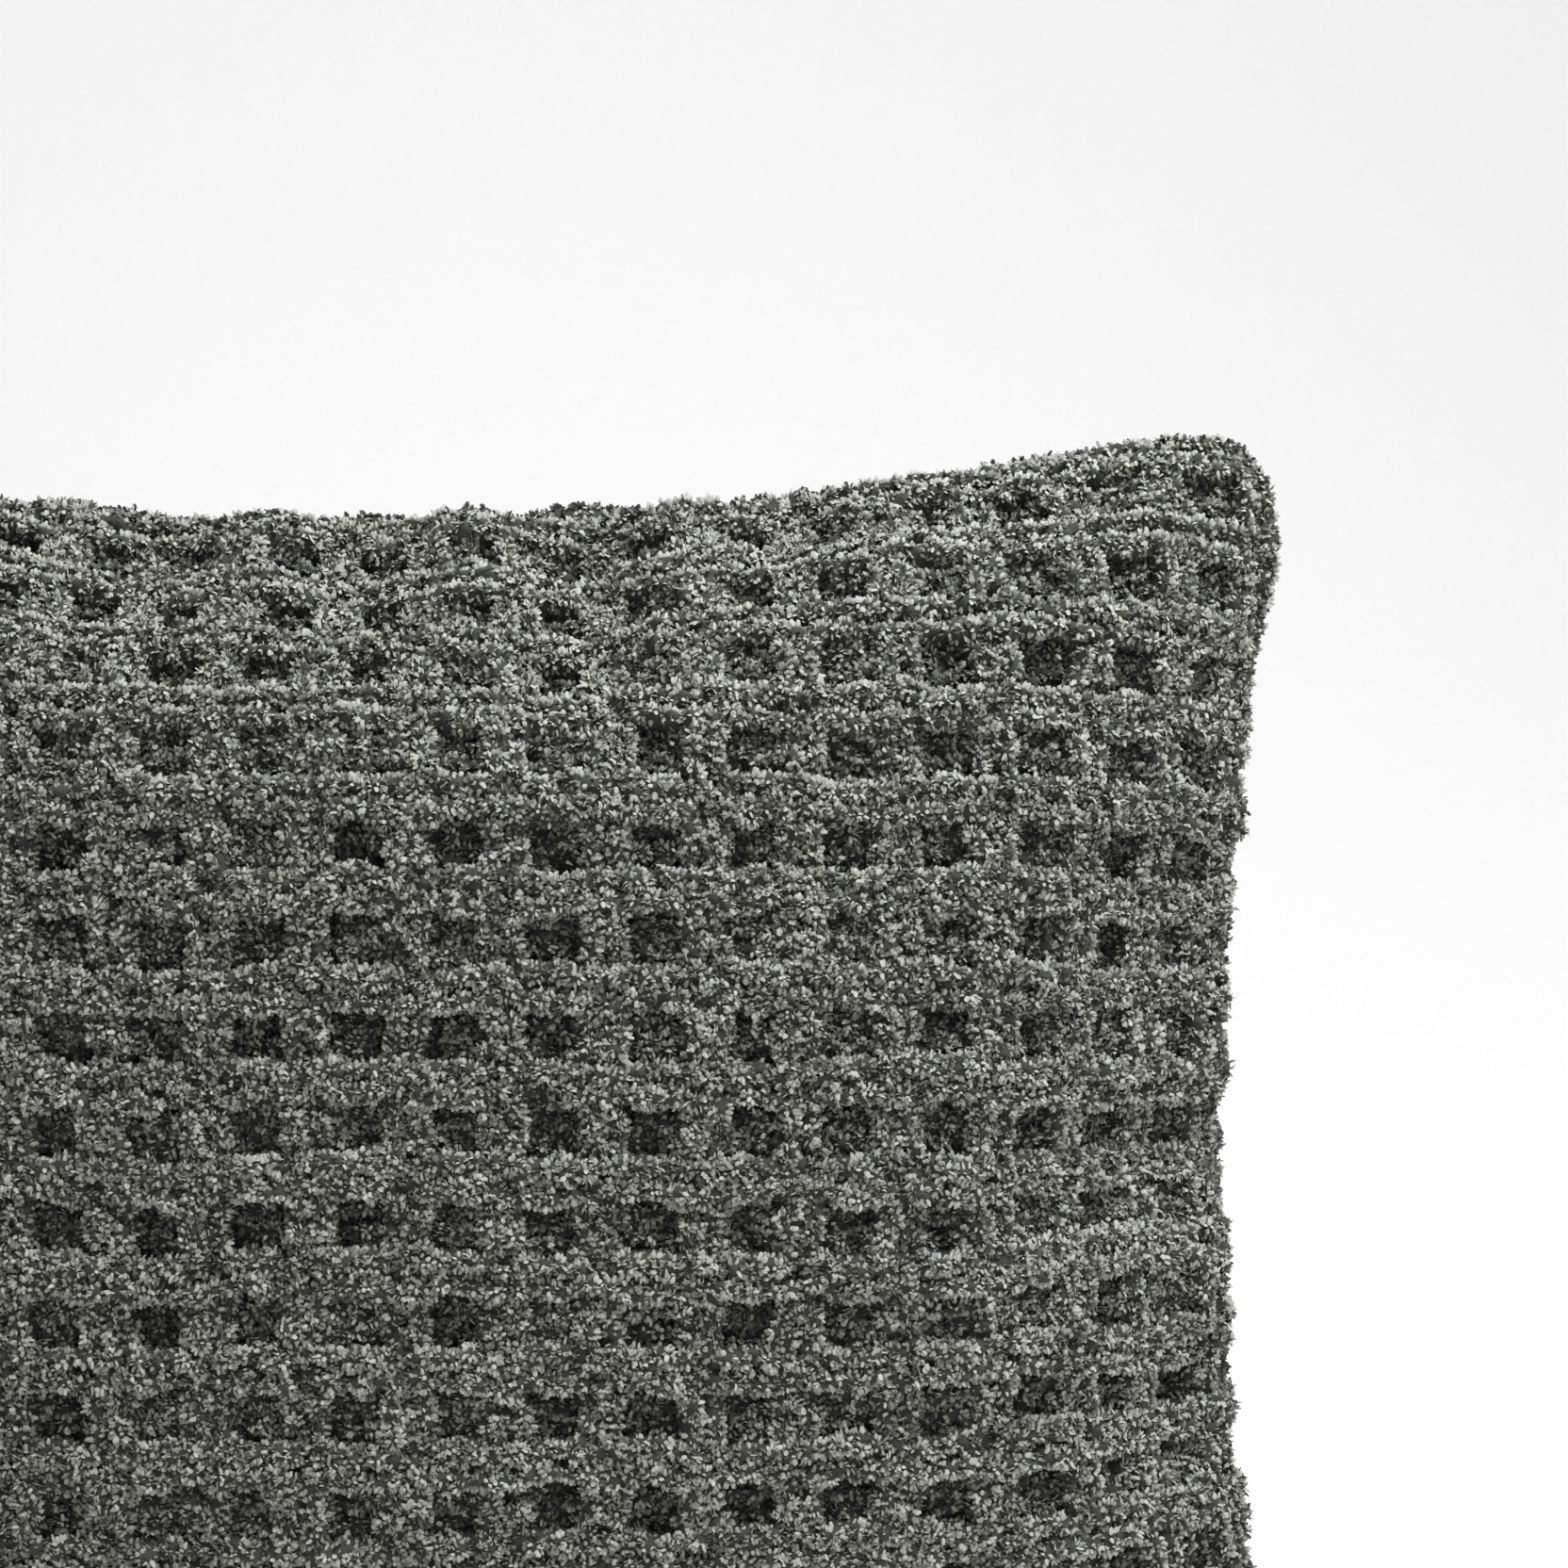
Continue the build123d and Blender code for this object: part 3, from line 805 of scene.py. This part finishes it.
def pile_tufts(name, side, outer, pile_way, flat, rows, cloth, seed):
    """Tufts of pile over some rows of the woven surface. Each strand is a small folded leaf,
    and the strands of a tuft splay from its middle."""
    random = np.random.default_rng(seed)
    count = cloth.pile_count
    r = random.uniform(rows[0], rows[1] - 1e-3, count)
    c = random.uniform(0, outer.shape[1] - 1 - 1e-3, count)
    grids = (pile_way, *surface_ways(outer), outer, *flat)
    normal, across, up, root, s, t = (on_grid(g, r, c) for g in grids)
    out_x, out_y, own = tuft_centres(s, t, TUFT_SIZE, TUFT_SEED + side)
    height, weft_on_top, over = weave(s, t, cloth, WEAVE_SEED[side])
    turn = own * 2 * math.pi
    lean_x = out_x * TUFT_SPLAY + np.cos(turn) * TUFT_LEAN
    lean_y = out_y * TUFT_SPLAY + np.sin(turn) * TUFT_LEAN
    lean_x += np.where(weft_on_top, 0, over * YARN_SPLAY)
    lean_y += np.where(weft_on_top, over * YARN_SPLAY, 0)
    way = normal + across * lean_x[:, None] + up * lean_y[:, None]
    way = unit(way + random.normal(size=(count, 3)) * TOSS)
    yarn = np.where(weft_on_top[:, None], across, up)
    yarn = yarn + random.normal(size=(count, 3)) * TWIST
    broad = unit(yarn - (yarn * way).sum(1, keepdims=True) * way)
    broad *= np.sign((np.cross(way, broad) * normal).sum(1, keepdims=True))
    outward = np.cross(way, broad)
    near = np.clip(1 - np.hypot(out_x, out_y), 0, 1)
    crown = 1 - (2 * np.abs(over)) ** 2
    length = cloth.pile_length * (0.55 + 0.4 * near + 0.15 * crown)[:, None]
    length = length * random.uniform(0.8, 1.2, (count, 1))
    half = cloth.pile_width / 2 * random.uniform(0.75, 1.2, (count, 1))
    nod = random.uniform(-0.4, 0.3, (count, 1))
    start = root - normal * PILE_ROOT
    points = kept_clear(leaves(start, way, broad, outward, length, half, nod), side)
    first = np.arange(count)[:, None] * len(LEAF_PAINTED_SHADES)
    faces = np.concatenate([first + [corners] for corners in LEAF_CORNERS])
    piece = make_mesh(name, points.reshape(-1, 3), faces)
    soften(piece, np.repeat(unit(normal + way * 0.5), len(LEAF_PAINTED_SHADES), 0))
    # Painted shade and light: strands are darker down in the pits, in the gaps between tufts and
    # on the yarn's sides, and lighter on the ridges, at the tufts' middles and on the yarn's
    # crown; each tuft's own lightness and a little per strand vary at random.
    painted_shade_and_tone = 0.1 + 0.25 * painted_pit_shade(height, cloth) + 0.4 * near + 0.15 * own + 0.06 * crown
    painted_shade_and_tone += random.uniform(-0.05, 0.05, count)
    set_attribute(piece, "pile_tone_and_painted_shade", np.clip(painted_shade_and_tone[:, None] + LEAF_PAINTED_SHADES, 0, 1))
    return piece


def soften(piece, ways):
    """Blends each strand's shading towards the way its tuft faces, as fine fibres scatter."""
    mesh = piece.data
    own = np.zeros(len(mesh.vertices) * 3, np.float32)
    mesh.vertices.foreach_get("normal", own)
    own = own.reshape(-1, 3)
    mesh.normals_split_custom_set_from_vertices(unit(own * STRAND_SHARE + ways).tolist())


# ---- operators


class PILLOW_OT_cover(bpy.types.Operator):
    """The two chenille panels with their pile"""

    bl_idname = "pillow.cover"
    bl_label = "Cover"

    def execute(self, context):
        cloth = context.scene.pillow_cloth
        flat_x, flat_z, front, back = pillow_form()
        material = chenille_material(cloth, "chenille_waffle_weave", "pile_tone_and_painted_shade")
        for side, base, cad_node in ((FRONT, front, "cover_front"), (BACK, back, "cover_back")):
            piece, outer, pile_way, *flat = cover_panel(
                f"{cad_node}_cloth", side, base, flat_x, flat_z, cloth
            )
            settle(piece, material, "chenille", cad_node)
            last = outer.shape[0] - 1
            for k, part in enumerate(("lower", "upper")):
                rows = (last * k // 2, last * (k + 1) // 2)
                seed = 100 + 10 * k + side
                pile = pile_tufts(
                    f"{cad_node}_pile_{part}", side, outer, pile_way, flat, rows, cloth, seed
                )
                settle(pile, material, "chenille")
        return {"FINISHED"}


class PILLOW_OT_stage(bpy.types.Operator):
    """The floor, the lights and the camera"""

    bl_idname = "pillow.stage"
    bl_label = "Stage"

    def execute(self, context):
        stage = context.scene.pillow_stage
        middle = Vector((0, 0, (HIGH[2] + LOW[2]) / 2))
        add_studio()
        add_light("key_light", KEY_PLACE, middle, KEY_SIZE, stage.key_power)
        aim = Vector(BACKDROP_AIM)
        add_light("backdrop_light", BACKDROP_PLACE, aim, BACKDROP_SIZE, stage.back_power)
        add_camera(stage, middle)
        world = bpy.data.worlds.new("studio")
        world.use_nodes = True
        background = world.node_tree.nodes["Background"]
        grey = stage.world_grey
        background.inputs["Color"].default_value = (grey, grey, grey, 1)
        context.scene.world = world
        context.scene.view_settings.view_transform = "Standard"
        return {"FINISHED"}


def add_studio():
    """A round pale floor that curves up into a wall on every side."""
    bend = np.linspace(0, math.pi / 2, BEND_STEPS)
    floor = STUDIO_RADIUS - BEND_RADIUS
    line = [(0.001, 0.0), (floor / 2, 0.0)]
    line += [
        (floor + BEND_RADIUS * math.sin(a), BEND_RADIUS - BEND_RADIUS * math.cos(a)) for a in bend
    ]
    line.append((STUDIO_RADIUS, STUDIO_HEIGHT))
    r, z = np.array(line).T
    turn = np.linspace(0, 2 * math.pi, STUDIO_STEPS + 1)[:-1, None]
    points = np.stack([r * np.cos(turn), r * np.sin(turn), z + 0 * turn], -1)
    index = np.arange(points[..., 0].size).reshape(points.shape[:2])
    index = np.concatenate([index, index[:1]])
    studio = make_mesh("studio", points.reshape(-1, 3), grid_quads(index, BACK))
    studio.data.materials.append(
        grained_material("matt_paper", "f6f6f6", "f4f4f4", 3.0, 0.9, bump_mm=0.01)
    )


def add_light(name, place, target, size, power):
    """A square area light that faces its target."""
    data = bpy.data.lights.new(name, "AREA")
    data.energy = power
    data.size = size
    light = bpy.data.objects.new(name, data)
    light.location = place
    light.rotation_euler = (target - light.location).to_track_quat("-Z", "Y").to_euler()
    bpy.context.scene.collection.objects.link(light)


def add_camera(stage, middle):
    """A level camera square on to the front."""
    data = bpy.data.cameras.new("camera")
    data.sensor_width = SENSOR_WIDTH_MM
    data.lens = SENSOR_WIDTH_MM * stage.distance / stage.framed
    camera = bpy.data.objects.new("camera", data)
    camera.location = middle + Vector((stage.aim_x, -stage.distance, stage.aim_z))
    camera.rotation_euler = (math.pi / 2, 0, 0)
    bpy.context.scene.collection.objects.link(camera)
    bpy.context.scene.camera = camera


class PILLOW_OT_zip(bpy.types.Operator):
    """The zip in the bottom seam and its thread"""

    bl_idname = "pillow.zip"
    bl_label = "Zip"

    def execute(self, context):
        nodes = frame["nodes"]
        tape = woven_material("woven_polyester_tape", "3a3c38", "24251f", 0.8)
        nylon = grained_material("extruded_nylon", "3d3f3a", "30322d", 0.6, 0.45)
        zinc = grained_material("enamelled_zinc", "34362f", "2a2c27", 0.9, 0.35, metallic=0.3)
        thread = grained_material("spun_polyester_thread", "4b4d47", "33352f", 0.4, 0.7)
        for name in ("zipper_top_stops", "zipper_bottom_stop", "zipper_slider", "zipper_pull"):
            nodes[name].data.materials.clear()
            nodes[name].data.materials.append(zinc)
        tacks = end_tacks("zip_end_tacks")
        settle(tacks, thread, "cover_thread", "zipper_end_tacks")
        for side, word in ((FRONT, "front"), (BACK, "back")):
            woven = woven_tape(f"zip_tape_{word}", f"zipper_tape_{word}", side)
            settle(woven, tape, "zip_tape", f"zipper_tape_{word}")
            coil = coil_teeth(f"zip_coil_{word}", side)
            settle(coil, nylon, "zip_nylon", f"zipper_coil_{word}")
            low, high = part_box(f"zipper_stitching_{word}")
            line = np.array([[x, (low[1] + high[1]) / 2, low[2]] for x in (low[0], high[0])])
            stitches = row_of_stitches(f"zip_stitching_{word}", line, 3.0 * MM, 0.3 * MM)
            settle(stitches, thread, "cover_thread", f"zipper_stitching_{word}")
        return {"FINISHED"}


def skin(name, rings, facing, closed=False):
    """A surface through rings of points, with its ends capped unless it is closed."""
    index = np.arange(rings[..., 0].size).reshape(rings.shape[:2])
    ends = np.stack([index[0], index[-1, ::-1]])[:, ::facing]
    index = np.concatenate([index, index[:, :1]], 1)
    if closed:
        index = np.concatenate([index, index[:1]])
    faces = [grid_quads(index, facing)] + ([] if closed else [ends])
    return make_mesh(name, rings.reshape(-1, 3), faces)


def woven_tape(name, cad_node, side):
    """A zip tape: thin, with a corded edge under the coil."""
    low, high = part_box(cad_node)
    inner, outer = sorted((abs(low[1]), abs(high[1])))
    bottom, top = low[2], high[2]
    thinned = top - TAPE_THINNED
    across = [
        (inner, bottom + TAPE_EASED),
        (inner + TAPE_EASED, bottom),
        (outer - TAPE_CORD, bottom),
        (outer, bottom + TAPE_THINNED),
        (outer, thinned),
        (outer - TAPE_CORD, thinned),
        (inner + TAPE_CORD + 4 * TAPE_EASED, thinned),
        (inner + TAPE_CORD, top),
        (inner + TAPE_EASED, top),
        (inner, top - TAPE_EASED),
    ]
    profile = [(side * y, z) for y, z in across]
    if side == BACK:
        profile.reverse()
    places = np.linspace(low[0], high[0], TAPE_STEPS)
    return skin(name, np.array([[[x, y, z] for y, z in profile] for x in places]), FRONT)


def end_tacks(name):
    """A bar of close zigzag stitches across each end of the zip opening."""
    low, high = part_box("zipper_end_tacks")
    lines = []
    for start in (low[0], high[0] - TACK_LENGTH):
        passes = np.arange(TACK_PASSES)
        x = start + THREAD_RADIUS + (TACK_LENGTH - 2 * THREAD_RADIUS) * passes / passes[-1]
        y = np.where(passes % 2 == 0, low[1] + THREAD_RADIUS, high[1] - THREAD_RADIUS)
        lines.append(np.stack([x, y, np.full(len(x), (low[2] + high[2]) / 2)], 1))
    return join_tubes(name, lines, THREAD_RADIUS)


def join_tubes(name, lines, radius):
    """Several open tubes as one piece."""
    made = [tube(f"{name}_{k}", line, radius) for k, line in enumerate(lines)]
    with bpy.context.temp_override(
        active_object=made[0], object=made[0], selected_editable_objects=made
    ):
        bpy.ops.object.join()
    made[0].name = name
    return made[0]


def tube(name, line, radius, sides=6, closed=False):
    """A tube of a radius along a line of points, capped at its ends unless it is closed."""
    ahead = np.gradient(line, axis=0)
    if closed:
        ahead = np.roll(line, -1, 0) - np.roll(line, 1, 0)
    ahead = unit(ahead)
    guide = np.where(np.abs(ahead[:, 1:2]) < 0.9, [[0.0, 1.0, 0.0]], [[1.0, 0.0, 0.0]])
    first = unit(np.cross(ahead, guide))
    second = np.cross(ahead, first)
    turns = (np.arange(sides) * 2 * math.pi / sides)[None, :, None]
    ring = np.cos(turns) * first[:, None] + np.sin(turns) * second[:, None]
    return skin(name, line[:, None] + ring * radius, BACK, closed)


def coil_teeth(name, side):
    """One row of the zip's nylon coil: a flattened helix along the tape's edge."""
    low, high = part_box("zipper_coil_front" if side == FRONT else "zipper_coil_back")
    radius = COIL_WIRE
    inner = min(abs(low[1]), abs(high[1])) + radius
    outer = max(abs(low[1]), abs(high[1])) - radius
    turns = int((high[0] - low[0] - 2 * radius) / COIL_PITCH)
    angle = np.linspace(0, 2 * math.pi * turns, turns * COIL_STEPS + 1)
    length = turns * COIL_PITCH
    x = (low[0] + high[0] - length) / 2 + length * angle / angle[-1]
    across = np.cos(angle + (0 if side == FRONT else math.pi))
    y = side * ((inner + outer) / 2 + (outer - inner) / 2 * across)
    z = (low[2] + high[2]) / 2 + ((high[2] - low[2]) / 2 - radius) * np.sin(angle)
    return tube(name, np.stack([x, y, z], 1), radius, sides=5)


def spaced(path, stitch):
    """Points along a path, STITCH_STEPS to a stitch, and how many stitches in each one is."""
    steps = np.linalg.norm(np.diff(path, axis=0), axis=1)
    run = np.concatenate([[0], np.cumsum(steps)])
    count = int(run[-1] / stitch) * STITCH_STEPS + 1
    places = np.linspace(0, run[-1], count)
    line = np.stack([np.interp(places, run, path[:, k]) for k in range(3)], 1)
    return line, np.arange(count) / STITCH_STEPS


def row_of_stitches(name, path, stitch, radius):
    """Lock stitches along a line: short raised threads that dive into the cloth at each end."""
    line, stitches = spaced(path, stitch)
    line[:, 2] += radius * np.abs(np.sin(math.pi * stitches))
    return tube(name, line, radius)


def seam_thread(name, path, stitch, radius, sway, closed=False):
    """A thread sewn along a seam: it wavers to and fro across the seam plane."""
    line, stitches = spaced(np.concatenate([path, path[:1]]) if closed else path, stitch)
    line[:, 1] += sway * np.sin(2 * math.pi * stitches)
    return tube(name, line[:-1] if closed else line, radius, closed=closed)


class PILLOW_OT_seams(bpy.types.Operator):
    """The threads that sew the cover's panels together and bind their raw edges"""

    bl_idname = "pillow.seams"
    bl_label = "Seams"

    def execute(self, context):
        _, _, front, _ = pillow_form()
        thread = grained_material("seam_thread", "50524b", "33352f", 0.4, 0.7)
        for name, cad_node, inset, stitch, radius, sway in (
            ("cover_seam_stitches", "cover_seam_thread", SEAM_INSET, 3.0, 0.3, 0.3),
            ("cover_overlock", "cover_overlock_thread", OVERLOCK_INSET, 2.5, 0.35, 2.2),
        ):
            path = seam_path(front, inset)
            sewn = seam_thread(name, path, stitch * MM, radius * MM, sway * MM, closed=True)
            settle(sewn, thread, "cover_thread", cad_node)
        return {"FINISHED"}


def seam_path(grid, inset):
    """The grid's border, moved inwards in the seam plane and lifted clear of the zip."""
    edge = around(grid)
    ahead = np.roll(edge, -1, 0) - np.roll(edge, 1, 0)
    inward = np.stack([-ahead[:, 2], np.zeros(len(edge)), ahead[:, 0]], 1)
    path = edge + unit(inward) * inset
    path[:, 1] = 0
    over_zip = (np.abs(path[:, 0]) < ZIP_HALF_LENGTH + FOLD_END) & (path[:, 2] < 0.1)
    return path[~over_zip]


class PILLOW_OT_insert(bpy.types.Operator):
    """The filled insert and the blank labels"""

    bl_idname = "pillow.insert"
    bl_label = "Insert"

    def execute(self, context):
        _, _, front, back = pillow_form()
        cambric = woven_material("cotton_cambric", "e6e3da", "cfcbc0", 0.9)
        satin = woven_material("satin_ribbon", "efece4", "dddacf", 0.5, roughness=0.45)
        thread = grained_material("white_polyester_thread", "efeee9", "d8d6cf", 0.4, 0.7)
        fibre = grained_material("polyester_fibre", "f4f4f1", "dcdcd8", 2.5, 0.9, bump_mm=0.8)
        casings = [casing_grid(front, FRONT), casing_grid(back, BACK)]
        fills = []
        for grid, side, word in zip(casings, (FRONT, BACK), ("front", "back")):
            inside = deeper(grid, side, CASING_THICK)
            casing = shell(f"insert_casing_{word}", grid, inside, side)
            settle(casing, cambric, "insert_cloth", f"insert_{word}")
            fills.append(deeper(grid, side, CASING_THICK + FILL_CLEAR))
        edge = around_rows()
        shared = (fills[0][edge] + fills[1][edge]) / 2
        shared[:, 1] = 0
        for grid in fills:
            grid[edge] = shared
        filling = two_sided("fibre_filling", *fills)
        settle(filling, fibre, "fibre", "fibre_fill")
        path = casings[0][edge] * [1, 0, 1]
        at_closing = (np.abs(path[:, 0]) < CLOSING_HALF_LENGTH) & (path[:, 2] > 0.2)
        start = np.argmax(at_closing)
        path, at_closing = np.roll(path, -start, 0), np.roll(at_closing, -start)
        for name, cad_node, part, stitch, sway in (
            ("insert_seam_stitches", "insert_seam_thread", path[~at_closing], 2.5, 0.25),
            ("insert_closing_stitches", "insert_closing_thread", path[at_closing], 5, 0.9),
        ):
            sewn = seam_thread(name, part, stitch * MM, INSERT_THREAD_RADIUS, sway * MM)
            settle(sewn, thread, "insert_thread", cad_node)
        for name, cad_node in (("insert_tag", "insert_label"), ("care_ribbon", "care_label")):
            low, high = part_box(cad_node)
            on = casings[1] if cad_node == "insert_label" else None
            settle(ribbon(name, low, high, on), satin, "label_ribbon", cad_node)
        return {"FINISHED"}


def around_rows():
    """Row and column numbers of the simulated grid's border, in order."""
    index = np.arange((CELLS_UP + 1) * (CELLS_ACROSS + 1)).reshape(CELLS_UP + 1, -1)
    return np.unravel_index(around(index), index.shape)


def casing_grid(base, side):
    """One panel of the insert's casing: the cover's form, set in and closed on its own seam."""
    flat_x, flat_z = cut_cloth()
    from_edge = np.minimum(CUT_WIDTH / 2 - np.abs(flat_x), CUT_HEIGHT / 2 - np.abs(flat_z))
    closing = np.clip(from_edge / INSERT_EDGE, 0, 1)
    rise = np.sqrt(closing * (2 - closing))
    grid = base.copy()
    middle = (HIGH[2] + LOW[2]) / 2
    near = 1 - ease(from_edge / (3 * INSERT_EDGE))
    reach = np.hypot(grid[..., 0], grid[..., 2] - middle)
    draw = 1 - near * INSERT_INSET / np.maximum(reach, INSERT_INSET) * INSERT_DRAW
    grid[..., 0] *= draw
    grid[..., 2] = middle + (grid[..., 2] - middle) * draw
    deep = np.maximum(np.abs(base[..., 1]) - INSERT_DEPTH, 0)
    grid[..., 1] = side * (SEAM_GAP + deep * rise)
    grid[..., 2] = lifted(grid[..., 2], INSERT_FLOOR)
    return grid


def deeper(grid, side, depth):
    """The grid moved inwards by a depth, and kept on its side of the seam plane."""
    moved = grid - normals_of(grid, side) * depth
    moved[..., 1] = side * np.maximum(moved[..., 1] * side, SEAM_GAP)
    return moved


def shell(name, outer, inner, side):
    """A closed skin between two grids of the same size."""
    index = np.arange(outer[..., 0].size).reshape(outer.shape[:2])
    loop = around(index)
    after = np.roll(loop, -1)
    band = np.stack([loop, after, after + index.size, loop + index.size], 1)[:, ::-side]
    faces = np.concatenate([grid_quads(index, side), grid_quads(index + index.size, -side), band])
    return make_mesh(name, np.concatenate([outer.reshape(-1, 3), inner.reshape(-1, 3)]), faces)


def ribbon(name, low, high, on=None):
    """A blank ribbon label: a thin skin over its place, laid on the casing where one is given."""
    x, z = np.meshgrid(np.linspace(low[0], high[0], 13), np.linspace(low[2], high[2], 15))
    if on is None:
        bow = RIBBON_CLEAR * np.sin((x - low[0]) / (high[0] - low[0]) * math.pi)
        y = high[1] - RIBBON_THICK / 2 + bow
    else:
        from_x = x.reshape(-1, 1) - on[..., 0].reshape(1, -1)
        from_z = z.reshape(-1, 1) - on[..., 2].reshape(1, -1)
        weight = 1 / (np.hypot(from_x, from_z) + 0.5 * MM) ** 4
        y = (weight @ on[..., 1].ravel() / weight.sum(1)).reshape(x.shape)
        y += RIBBON_THICK + RIBBON_CLEAR
    outer = np.stack([x, y, z], -1)
    return shell(name, outer, outer - [0, RIBBON_THICK, 0], BACK)


class PILLOW_PT_panel(bpy.types.Panel):
    """Shows the settings and a button for each group of pieces"""

    bl_idname = "PILLOW_PT_panel"
    bl_label = "Pillow"
    bl_space_type = "VIEW_3D"
    bl_region_type = "UI"
    bl_category = "Pillow"

    def draw(self, context):
        for group in (context.scene.pillow_cloth, context.scene.pillow_stage):
            for name in group.bl_rna.properties.keys():
                if name not in ("rna_type", "name"):
                    self.layout.prop(group, name)
        for operator in OPERATORS:
            self.layout.operator(operator.bl_idname)


OPERATORS = (
    PILLOW_OT_stage,
    PILLOW_OT_cover,
    PILLOW_OT_seams,
    PILLOW_OT_zip,
    PILLOW_OT_insert,
)
CLASSES = (PillowCloth, PillowStage, *OPERATORS, PILLOW_PT_panel)


def register():
    """Adds the settings, operators and panel to Blender."""
    for cls in CLASSES:
        bpy.utils.register_class(cls)
    bpy.types.Scene.pillow_cloth = PointerProperty(type=PillowCloth)
    bpy.types.Scene.pillow_stage = PointerProperty(type=PillowStage)


def unregister():
    del bpy.types.Scene.pillow_stage
    del bpy.types.Scene.pillow_cloth
    for cls in reversed(CLASSES):
        bpy.utils.unregister_class(cls)


def main():
    register()
    bpy.ops.pillow.stage()
    bpy.ops.pillow.cover()
    bpy.ops.pillow.seams()
    bpy.ops.pillow.zip()
    bpy.ops.pillow.insert()


if __name__ == "__main__":
    main()
